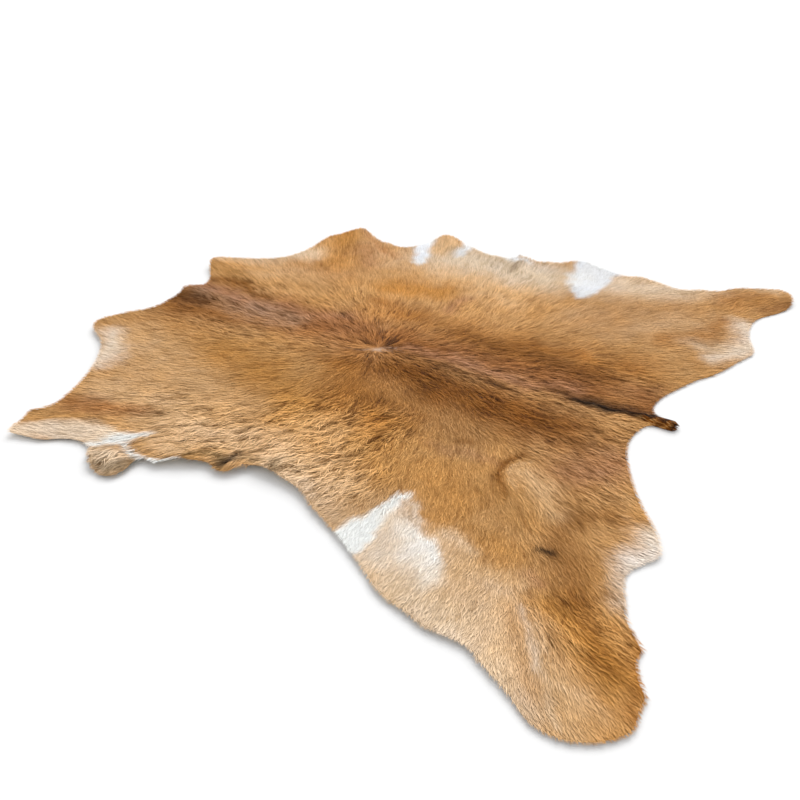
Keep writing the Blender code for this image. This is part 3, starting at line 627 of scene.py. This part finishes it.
def make_mesh(name, points, faces, smooth=True):
    """A mesh object from arrays of points and three-sided faces."""
    mesh = bpy.data.meshes.new(name)
    count = len(faces)
    mesh.vertices.add(len(points))
    mesh.vertices.foreach_set("co", points.astype(np.float32).ravel())
    mesh.loops.add(3 * count)
    mesh.loops.foreach_set("vertex_index", faces.astype(np.int32).ravel())
    mesh.polygons.add(count)
    mesh.polygons.foreach_set("loop_start", np.arange(0, 3 * count, 3, dtype=np.int32))
    mesh.polygons.foreach_set("use_smooth", np.full(count, smooth))
    mesh.update(calc_edges=True)
    return add_object(name, mesh)


def set_colours(mesh, colours):
    """Stores a colour for each point of a mesh."""
    layer = mesh.color_attributes.new("tint", "FLOAT_COLOR", "POINT")
    rows = np.ones((len(colours), 4), np.float32)
    rows[:, :3] = colours
    layer.data.foreach_set("color", rows.ravel())


def set_map(mesh, name, places):
    """Stores a flat map, with a place for each corner of each face."""
    layer = mesh.uv_layers.new(name=name)
    layer.data.foreach_set("uv", places.astype(np.float32).ravel())


class Kind(NamedTuple):
    """One kind of lock: how far apart they grow, their size, and how they are built.

    A lock is a ring of three corners at a share of its length and of its lift, and runs out to a point
    at the tip. Its root is a point in the skin too, or else the ring itself.
    """

    name: str
    spacing: float
    length: float
    width: float
    lift: float
    ring_at: float
    ring_lift: float
    pointed_root: bool


KINDS = (
    Kind("fur_locks", 0.00292, 0.0170, 0.00100, 0.0016, 0.45, 0.8, True),
    Kind("fur_under", 0.00320, 0.0155, 0.00115, 0.0011, 0.0, 0.1, False),
)
TAIL_KIND = Kind("fur_tail", 0, 0.014, 0.0014, 0, 0.45, 0, True)
# the ring's corners, across and up, as shares of the lock's width
CORNERS = ((-0.5, 0.0), (0.5, 0.0), (0.0, 0.28))
SIDES = len(CORNERS)

# places along the tail stub: its middle in the plan, and half its width
TAIL_X = (0.382, 0.395, 0.412, 0.425, 0.431)
TAIL_Y = (0.0165, 0.0155, 0.0135, 0.0118, 0.0110)
TAIL_HALF_WIDTH = (0.0085, 0.0100, 0.0095, 0.0090, 0.0080)
# the hide's own locks leave the tail stub bare from this X on, and this far to both sides
TAIL_BARE = 0.395
TAIL_BARE_REACH = 0.02
# how far inside the edge the first roots are
ROOT_INSET = 0.0035


def plant(ground, spacing, rng):
    """Places for the roots: one in each square of a grid, wherever there is skin."""
    low, high = ground.low, ground.low + MAP_STEP * (np.array(ground.shape) - 1)
    xs, ys = (np.arange(low[k], high[k], spacing) for k in (0, 1))
    points = np.stack(np.meshgrid(xs, ys, indexing="ij"), axis=-1).reshape(-1, 2)
    points += rng.uniform(0, spacing, points.shape)
    tail = (points[:, 0] > TAIL_BARE) & (np.abs(points[:, 1] - TAIL_Y[0]) < TAIL_BARE_REACH)
    return points[(ground.edges(points) > ROOT_INSET) & ~tail]


def lock_faces(kind):
    """The faces of one lock, whose corners are the root if it is a point, the ring and the tip."""
    first = int(kind.pointed_root)
    faces = []
    for side in range(SIDES):
        here, beside = first + side, first + (side + 1) % SIDES
        faces.append((here, beside, first + SIDES))
        if kind.pointed_root:
            faces.append((beside, here, 0))
    if not kind.pointed_root:
        faces.append((0, 2, 1))
    return np.array(faces)


# a lock is darker at its root as painted shade and lighter at its tip as a painted highlight
ROOT_PAINTED_SHADE = 0.72
TIP_PAINTED_LIGHT = 1.06


def painted_shade_along(colour, share):
    """A lock's colour at a share of its length: darker at the root as painted shade, lighter at the tip as
    a painted highlight, and light hair evens these out more.
    """
    shade = np.interp(share, (0, 0.5, 1), (ROOT_PAINTED_SHADE, 1, TIP_PAINTED_LIGHT))
    light = colour.mean(axis=1, keepdims=True)
    return colour * (1 - (1 - shade) * (1 - PALE_EVEN * light))


# painted shade in the gaps between locks, and a painted highlight on their tops
LOCK_EVEN = 0.5
LOCK_MOST = 0.6
GAP_START = 0.5
GAP_DEPTH = 1.1


def painted_lock_shade(values):
    """How much lighter or darker than the coat a lock is: nearly even on top, a little lighter there as a
    painted highlight, and much darker in the gaps as painted shade.
    """
    return np.minimum(values + LOCK_EVEN, LOCK_MOST) - GAP_DEPTH * np.maximum(-values - GAP_START, 0)


SIDE_TILT = 0.45
END_TILT = 0.15


def soft_normals(ground, kind, roots, angle):
    """Which way each corner of each lock faces: the way the skin does there, rounded a little."""
    up = ground.upward(roots)
    along, across = np.zeros_like(up), np.zeros_like(up)
    along[:, :2], across[:, :2] = heading(angle), heading(angle + radians(90))
    rows = [up - END_TILT * along] if kind.pointed_root else []
    tilt = END_TILT * (2 * kind.ring_at - 1)
    rows += [up + tilt * along + 2 * side * SIDE_TILT * across for side, _ in CORNERS]
    return rows + [up + END_TILT * along]


# the least and the most share of a kind's own length, lift and width
LENGTHS = (0.65, 1.25)
LIFTS = (0.6, 1.2)
WIDTHS = (0.6, 1.25)
SHAGGY_LENGTH = 0.35
SHAGGY_LIFT = 0.9
# how far a lock strays from its neighbours and bends at its tip, in degrees
STRAY_ALONE = 4
TIP_BEND = 12
# at the hide's edge the locks are shorter and thinner, and shortened again where they reach too far out
RIM_REACH = 0.012
RIM_LENGTH = 0.55
RIM_WIDTH = 0.75
FRINGE_REACH = 0.002
FRINGE_TRIM = 0.82
FRINGE_ROUNDS = 6
FRINGE_DROOP = 0.6
ROOT_DEPTH = 0.0006
FLOOR_GAP = 0.0006
# streaks: single locks and bands of them, which turn and lift the hair, and shade it with painted shade in
# the gaps and a painted highlight on the tops
STREAK_WIDTH = 0.0022
STREAK_BASE = 0.7
STREAK_TURN = 6
STREAK_SLOPE_MOST = 1.5
STREAKY_TURN_MOST = 1.8
STREAK_DEPTH = 0.27
BAND_WIDTH = 0.0045
BAND_DEPTH = 0.12
LIFT_TURN = 0.25
LIFT_TURN_MOST = 0.6
SHADE_ALONE = 0.09
# how red, green and blue change in a darker and in a lighter lock
DARK_TURN = np.array((1, 1.2, 1.5))
LIGHT_TURN = np.array((1, 1.15, 1.4))


def grow(ground, kind, rng):
    """Arrays of points, colours and normals for all locks of one kind, a row for each lock."""
    roots = plant(ground, kind.spacing, rng)
    count = len(roots)
    loose = zone_amount(roots, SHAGGY)
    streaky = STREAK_BASE + zone_amount(roots, STREAKY)
    angle = comb(roots)
    ridge = streaks(roots, angle, STREAK_WIDTH, seed=24)
    band = streaks(roots, angle, BAND_WIDTH, seed=25)
    beside = STREAK_WIDTH / 3 * heading(angle + radians(90))
    left, right = (streaks(roots + shift, angle, STREAK_WIDTH, seed=24) for shift in (beside, -beside))
    slope = np.clip(left - right, -STREAK_SLOPE_MOST, STREAK_SLOPE_MOST)
    angle += radians(STREAK_TURN) * np.minimum(streaky, STREAKY_TURN_MOST) * slope
    angle += radians(STRAY_ALONE) * rng.standard_normal(count)
    length = kind.length * (1 + SHAGGY_LENGTH * loose) * rng.uniform(*LENGTHS, count)
    rim = ease(ground.edges(roots) / RIM_REACH)
    length *= RIM_LENGTH + (1 - RIM_LENGTH) * rim
    bend = radians(TIP_BEND) * rng.standard_normal(count) * (1 + loose)
    lift = kind.lift * (1 + SHAGGY_LIFT * loose) * rng.uniform(*LIFTS, count)
    lift *= np.exp(np.clip(LIFT_TURN * streaky * ridge, -LIFT_TURN_MOST, LIFT_TURN_MOST))
    width = kind.width * rng.uniform(*WIDTHS, count) * (RIM_WIDTH + (1 - RIM_WIDTH) * rim)
    for _ in range(FRINGE_ROUNDS):
        tips = roots + length[:, None] * heading(angle)
        length[ground.edges(tips) < -FRINGE_REACH] *= FRINGE_TRIM
    # a lock's own tone, with painted shade in the gaps and a painted highlight on the tops of the locks and
    # bands
    vary = SHADE_ALONE * rng.standard_normal(count) + STREAK_DEPTH * streaky * painted_lock_shade(ridge)
    vary += BAND_DEPTH * streaky * painted_lock_shade(band)
    colour = lock_colour(roots + 0.5 * length[:, None] * heading(angle), vary)
    return build_locks(ground, kind, roots, angle, bend, length, width, lift, colour)


def build_locks(ground, kind, roots, angle, bend, length, width, lift, colour):
    """Arrays of points, colours and normals for locks that lie along their angles from their roots."""
    points, tints = [], []
    if kind.pointed_root:
        points.append(np.column_stack([roots, ground.heights(roots) - SKIN_DROP - ROOT_DEPTH]))
        tints.append(painted_shade_along(colour, 0))
    middle = roots + (kind.ring_at * length)[:, None] * heading(angle)
    for side, rise in CORNERS:
        spot = middle + (side * width)[:, None] * heading(angle + radians(90))
        top = ground.heights(spot) - SKIN_DROP + kind.ring_lift * lift + rise * width
        top -= 0 if kind.pointed_root else ROOT_DEPTH
        points.append(np.column_stack([spot, top]))
        tints.append(painted_shade_along(colour, kind.ring_at))
    tips = middle + ((1 - kind.ring_at) * length)[:, None] * heading(angle + bend)
    outside = np.maximum(0, -ground.edges(tips))
    points.append(np.column_stack([tips, ground.heights(tips) - SKIN_DROP + lift - FRINGE_DROOP * outside]))
    tints.append(painted_shade_along(colour, 1))
    return gather(points, tints, soft_normals(ground, kind, roots, angle))


def gather(points, tints, normals):
    """Arrays with a row for each lock, from a list of its corners, with nothing below the floor."""
    points, tints, normals = (np.stack(rows, axis=1) for rows in (points, tints, normals))
    points[:, :, 2] = np.maximum(points[:, :, 2], FLOOR_GAP)
    return points, tints, normals / np.linalg.norm(normals, axis=2, keepdims=True)


def lock_colour(places, vary):
    """The coat's colour at these places, made lighter where vary is above 0 and darker below."""
    colour = coat_colour(places)
    light = np.clip(colour.mean(axis=1), 0, 1)
    turn = np.where(vary[:, None] > 0, LIGHT_TURN, DARK_TURN)
    return colour * np.exp((vary * (1 - PALE_EVEN * light))[:, None] * turn)


TAIL_LOCKS = 900
# more locks near the tip, around this much of a half turn, and shorter towards the tip
TAIL_CROWD = 0.8
TAIL_ARC = (-0.15, 1.15)
TAIL_LENGTHS = (0.7, 1.2)
TAIL_WIDTHS = (0.6, 1.2)
TAIL_SHORTER = 0.45
# the tail's skin in section, how it closes past its end, and how far out a lock's corners lie
TAIL_AXIS = 0.42
TAIL_RISE = 0.72
TAIL_CLOSE = 0.012
TAIL_NARROWEST = 0.2
TAIL_UP_LEAST = 0.2
TAIL_ROOT = 0.85
TAIL_RING = 1.05
TAIL_FLARE = 1.12
TAIL_LEAN = 0.4
# dark and light locks in bands that wind about it, and darker on the far side
TAIL_TURNS = 2.2
TAIL_MIX = 0.9
TAIL_BANDS = 0.25
TAIL_DARK_SIDE = 0.35
TAIL_COLOURS = ("soot", "sepia", "umber", "tan")
TAIL_SHARES = (0.30, 0.64, 0.92)
TAIL_GAIN = 1.2


def grow_tail(ground, rng):
    """Arrays of points, colours and normals for the locks of the tail stub, wound about it a little."""
    kind = TAIL_KIND
    share = rng.uniform(0, 1, TAIL_LOCKS) ** TAIL_CROWD
    turn = rng.uniform(*TAIL_ARC, TAIL_LOCKS) * np.pi
    length = kind.length * rng.uniform(*TAIL_LENGTHS, TAIL_LOCKS) * (1 - TAIL_SHORTER * share)
    width = kind.width * rng.uniform(*TAIL_WIDTHS, TAIL_LOCKS)
    bands = np.sin(2 * np.pi * TAIL_TURNS * share + 2 * turn) + TAIL_MIX * rng.standard_normal(TAIL_LOCKS)
    lean = TAIL_DARK_SIDE * np.cos(turn) * (1 - share)
    rank = np.searchsorted(TAIL_SHARES, 0.5 + TAIL_BANDS * bands - lean)
    colour = TAIL_GAIN * np.array([linear(COLOURS[name]) for name in TAIL_COLOURS])[rank]
    span = TAIL_X[-1] - TAIL_X[0]
    points, normals = [], []
    for part, reach in ((0, TAIL_ROOT), (kind.ring_at, TAIL_RING), (1, TAIL_FLARE)):
        along = share + part * length / span
        x = TAIL_X[0] + np.minimum(along, 1) * span
        y = np.interp(x, TAIL_X, TAIL_Y)
        high = ground.heights(np.column_stack([x, y]))
        beyond = np.maximum(along - 1, 0) * span
        wide = reach * np.clip(1 - beyond / TAIL_CLOSE, TAIL_NARROWEST, 1)
        around = turn + part * TAIL_LEAN
        y += wide * np.interp(x, TAIL_X, TAIL_HALF_WIDTH) * np.cos(around)
        z = high * (TAIL_AXIS + TAIL_RISE * wide * np.sin(around))
        place = np.stack([x + beyond, y, z], axis=1)
        aside, up = np.cos(around), np.maximum(np.sin(around), TAIL_UP_LEAST)
        out = np.stack([0 * y, aside, up], axis=1)
        across = np.stack([0 * y, up, -aside], axis=1)
        for side, rise in CORNERS if 0 < part < 1 else ((0, 0),):
            points.append(place + (width * side)[:, None] * across + (width * rise)[:, None] * out)
            normals.append(out + side * across)
    # darker at the root as painted shade and lighter at the tip as a painted highlight
    tints = [colour * shade for shade in (ROOT_PAINTED_SHADE, 1, 1, 1, TIP_PAINTED_LIGHT)]
    return gather(points, tints, normals)


# where a pointed end lies around a lock in its map, and how far the maps of two locks lie apart
END_TURN = 0.33
STRAND_SHIFT = 3.17
STRAND_SHIFTS = 997


def strand_places(kind, faces, rows):
    """Along each lock in v and around it in u, with another u for each lock."""
    root = [(END_TURN, 0)] if kind.pointed_root else []
    ring = [(side / SIDES, kind.ring_at) for side in range(SIDES)]
    turns, shares = np.array(root + ring + [(END_TURN, 1)]).T
    u = turns[faces][None] + STRAND_SHIFT * (rows % STRAND_SHIFTS)[:, None, None]
    v = np.broadcast_to(shares[faces][None], u.shape)
    return np.stack([u, v], axis=-1).reshape(-1, 2)


BAKE_SPAN = 1.3
BAKE_WIDTH = 0.0016
BAKE_SPREAD = 0.2
BAKE_FAN = np.array([(1, 0), (-0.5, 0.87), (-0.5, -0.87)])


def bake_places(points, faces):
    """Where each face corner lies in the whole hide's map: its place in the plan, spread to a width."""
    plan = points[:, :, :2][:, faces]
    away = plan - plan.mean(axis=2, keepdims=True)
    spread = plan + BAKE_SPREAD * away + BAKE_WIDTH * BAKE_FAN
    return (spread / BAKE_SPAN + 0.5).reshape(-1, 2)


def fur_piece(name, kind, rows, grown, material):
    """One piece of fur, made of some of the locks that were grown."""
    faces = lock_faces(kind)
    points, tints, normals = (values[rows] for values in grown)
    corners = points.shape[1]
    all_faces = (faces[None] + corners * np.arange(len(rows))[:, None, None]).reshape(-1, 3)
    piece = make_mesh(name, points.reshape(-1, 3), all_faces)
    piece.data.normals_split_custom_set_from_vertices(normals.reshape(-1, 3))
    set_colours(piece.data, tints.reshape(-1, 3))
    set_map(piece.data, "strand", strand_places(kind, faces, rows))
    set_map(piece.data, "OFBake", bake_places(points, faces))
    piece.data.materials.append(material)
    return piece


PIECES_PER_KIND = 3


def add_fur(ground, material):
    """All fur pieces: locks of each kind in stretches along the back, and those of the tail stub."""
    rng = np.random.default_rng(SEED)
    made = []
    for kind in KINDS:
        grown = grow(ground, kind, rng)
        order = np.argsort(grown[0][:, 0, 0], kind="stable")
        for number, rows in enumerate(np.array_split(order, PIECES_PER_KIND)):
            made.append(fur_piece(f"{kind.name}_{number + 1}", kind, rows, grown, material))
    grown = grow_tail(ground, rng)
    made.append(fur_piece(TAIL_KIND.name, TAIL_KIND, np.arange(TAIL_LOCKS), grown, material))
    return made


def set_up(node, **values):
    """Gives a node its settings and the values of its named inputs."""
    for key, value in values.items():
        if hasattr(node, key):
            setattr(node, key, value)
        else:
            node.inputs[key.replace("_", " ")].default_value = value
    return node


def add_node(tree, kind, **values):
    """A new shader node of a kind."""
    return set_up(tree.nodes.new("ShaderNode" + kind), **values)


def join(source, output, target, entry):
    """Links an output of a node to an input of another."""
    source.id_data.links.new(source.outputs[output], target.inputs[entry])


def add_material(name, roughness, gloss):
    """A new material, its nodes and its shader."""
    made = bpy.data.materials.new(name)
    made.use_nodes = True
    shader = made.node_tree.nodes["Principled BSDF"]
    set_up(shader, Roughness=roughness, Specular_IOR_Level=gloss)
    return made, made.node_tree, shader


GRAIN_LOW = 0.3
GRAIN_HIGH = 0.7


def add_grain(tree, shader, colour, grain, least, most, strength, depth):
    """Gives the shader a colour, scaled from the least to the most by a grain, and the grain's bumps."""
    ends = {"From_Min": GRAIN_LOW, "From_Max": GRAIN_HIGH, "To_Min": least, "To_Max": most}
    shade = add_node(tree, "MapRange", **ends)
    mix = add_node(tree, "VectorMath", operation="SCALE")
    bump = add_node(tree, "Bump", Strength=strength, Distance=depth)
    join(grain, "Fac", shade, "Value")
    join(colour, "Color", mix, 0)
    join(shade, "Result", mix, "Scale")
    join(mix, "Vector", shader, "Base Color")
    join(grain, "Fac", bump, "Height")
    join(bump, "Normal", shader, "Normal")


def fur_material():
    """Hair: the lock's own colour, with finer hairs drawn along it."""
    made, tree, shader = add_material("cow_fur", roughness=0.55, gloss=0.04)
    tint = add_node(tree, "Attribute", attribute_name="tint")
    strand = add_node(tree, "UVMap", uv_map="strand")
    stretch = add_node(tree, "Mapping", Scale=(9, 0.8, 1))
    hairs = add_node(tree, "TexNoise", Scale=1.0, Detail=2.0)
    join(strand, "UV", stretch, "Vector")
    join(stretch, "Vector", hairs, "Vector")
    add_grain(tree, shader, tint, hairs, least=0.86, most=1.12, strength=0.25, depth=0.0004)
    return made


def hair_root_material():
    """The dense short hair under the locks, on the skin, its colour darkened as painted shade under the
    locks.
    """
    made, tree, shader = add_material("shaded_hair_roots", roughness=0.8, gloss=0.04)
    tint = add_node(tree, "Attribute", attribute_name="tint")
    place = add_node(tree, "TexCoord")
    fine = add_node(tree, "TexNoise", Scale=420.0, Detail=3.0)
    join(place, "Object", fine, "Vector")
    # the coat's colour darkened to between 0.70 and 0.95 as painted shade under the locks
    add_grain(tree, shader, tint, fine, least=0.70, most=0.95, strength=0.6, depth=0.001)
    return made


# where the darker and the paler tone of the suede lie on its blotches
SUEDE_TONES = ((0.32, (196, 178, 152)), (0.70, (228, 216, 196)))


def suede_material():
    """The tanned flesh side: pale suede with a short nap and faint blotches."""
    made, tree, shader = add_material("suede", roughness=0.9, gloss=0.5)
    place = add_node(tree, "TexCoord")
    blotch = add_node(tree, "TexNoise", Scale=14.0, Detail=5.0)
    nap = add_node(tree, "TexNoise", Scale=900.0, Detail=4.0)
    ramp = add_node(tree, "ValToRGB")
    for stop, (position, tone) in zip(ramp.color_ramp.elements, SUEDE_TONES):
        stop.position = position
        stop.color = (*linear(tone), 1)
    join(place, "Object", blotch, "Vector")
    join(place, "Object", nap, "Vector")
    join(blotch, "Fac", ramp, "Fac")
    add_grain(tree, shader, ramp, nap, least=0.86, most=1.06, strength=0.5, depth=0.0006)
    return made


SKIN_EDGE_MOST = 0.024
SPLIT_ROUNDS = 3


def split_long_edges(mesh):
    """Splits the long edges of the hair side, so that colours lie fine enough on it."""
    for _ in range(SPLIT_ROUNDS):
        long_edges = [
            e for e in mesh.edges
            if e.calc_length() > SKIN_EDGE_MOST and all(f.normal.z > TOP_FACE_MIN for f in e.link_faces)
        ]
        bmesh.ops.subdivide_edges(mesh, edges=long_edges, cuts=1)
        bmesh.ops.triangulate(mesh, faces=[f for f in mesh.faces if len(f.verts) > 3])
    mesh.normal_update()


SKIN_INSET = 0.003
SKIN_INSET_REACH = 0.018


def inset_skin(mesh, ground):
    """Draws the skin in at its edge and down a little, and gives the hair side its own material."""
    plan = np.array([v.co for v in mesh.verts])[:, :2]
    shift = SKIN_INSET * (1 - ease(np.maximum(ground.edges(plan), 0) / SKIN_INSET_REACH))
    moved = plan + shift[:, None] * ground.inward(plan)
    for vert, spot in zip(mesh.verts, moved):
        vert.co.x, vert.co.y = spot
        if vert.normal.z > TOP_FACE_MIN:
            vert.co.z -= SKIN_DROP * vert.normal.z
    for face in mesh.faces:
        face.smooth = True
        face.material_index = 0 if face.normal.z > HAIR_FACE_MIN else 1


def add_skin(ground, hide):
    """The tanned skin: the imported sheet, a little smaller all round, smoothed, with hair roots on top."""
    mesh = joined_mesh(hide)
    split_long_edges(mesh)
    inset_skin(mesh, ground)
    data = bpy.data.meshes.new("hide_skin")
    mesh.to_mesh(data)
    mesh.free()
    skin = add_object("hide_skin", data)
    finer = skin.modifiers.new("finer", "SUBSURF")
    finer.levels = finer.render_levels = 1
    apply_modifiers(skin)
    spots = np.array([v.co for v in skin.data.vertices])
    on_top = np.array([v.normal.z > 0 for v in skin.data.vertices])
    raised = spots[:, 2] + fold_height(spots[:, :2])
    under_hair = ground.heights(spots[:, :2]) - SKIN_DROP
    spots[:, 2] = np.where(on_top, np.minimum(raised, under_hair), np.maximum(raised, spots[:, 2]))
    skin.data.vertices.foreach_set("co", spots.astype(np.float32).ravel())
    set_colours(skin.data, coat_colour(spots[:, :2]))
    skin.data.materials.append(hair_root_material())
    skin.data.materials.append(suede_material())
    return skin


def apply_modifiers(thing):
    """Turns an object's mesh into what its modifiers make of it."""
    graph = bpy.context.evaluated_depsgraph_get()
    made = bpy.data.meshes.new_from_object(thing.evaluated_get(graph))
    thing.modifiers.clear()
    thing.data = made


FLOOR_SIZE = 60.0
FLOOR_LEAST = 0.775
FLOOR_MOST = 0.790


def add_floor():
    """A plain white floor."""
    corners = FLOOR_SIZE / 2 * np.array([(-1, -1, 0), (1, -1, 0), (1, 1, 0), (-1, 1, 0)])
    floor = make_mesh("floor", corners, np.array([(0, 1, 2), (0, 2, 3)]), smooth=False)
    made, tree, shader = add_material("white_floor", roughness=0.9, gloss=0.1)
    grain = add_node(tree, "TexNoise", Scale=3.0, Detail=2.0)
    tone = add_node(tree, "MapRange", To_Min=FLOOR_LEAST, To_Max=FLOOR_MOST)
    join(grain, "Fac", tone, "Value")
    join(tone, "Result", shader, "Base Color")
    floor.data.materials.append(made)


WORLD_STRENGTH = 0.90
SUN_STRENGTH = 2.2
SUN_SPREAD = 50.0
SUN_TILT = 50.0
SUN_TURN = 190.0


def add_light():
    """Even light from all round, and one wide soft light from above and a little behind the rug."""
    world = bpy.data.worlds.new("soft_world")
    bpy.context.scene.world = world
    world.use_nodes = True
    set_up(world.node_tree.nodes["Background"], Color=(1, 1, 1, 1), Strength=WORLD_STRENGTH)
    sun = bpy.data.lights.new("soft_sun", "SUN")
    sun.energy = SUN_STRENGTH
    sun.angle = radians(SUN_SPREAD)
    add_object("soft_sun", sun).rotation_euler = (radians(SUN_TILT), 0, radians(SUN_TURN))


CAMERA_PLACE = (0.5405, -1.063, 0.700)
CAMERA_PITCH = 32.9
CAMERA_TURN = 27.2
CAMERA_LENS_MM = 38.25
CAMERA_SENSOR_MM = 36
CAMERA_NEAREST = 0.01


def add_camera():
    """The camera at the photo's viewing angle."""
    data = bpy.data.cameras.new("camera")
    data.sensor_width = CAMERA_SENSOR_MM
    data.lens = CAMERA_LENS_MM
    data.clip_start = CAMERA_NEAREST
    camera = add_object("camera", data)
    camera.location = CAMERA_PLACE
    camera.rotation_euler = (radians(90 - CAMERA_PITCH), 0, radians(CAMERA_TURN))
    bpy.context.scene.camera = camera


add_camera()
add_floor()
add_light()
bpy.context.scene.view_settings.view_transform = "Standard"

ground = Ground(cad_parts["hide"])
skin = add_skin(ground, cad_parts["hide"])
fur = add_fur(ground, fur_material())
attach(skin, "root")
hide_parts("hide")
for piece in fur:
    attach(piece, "root")
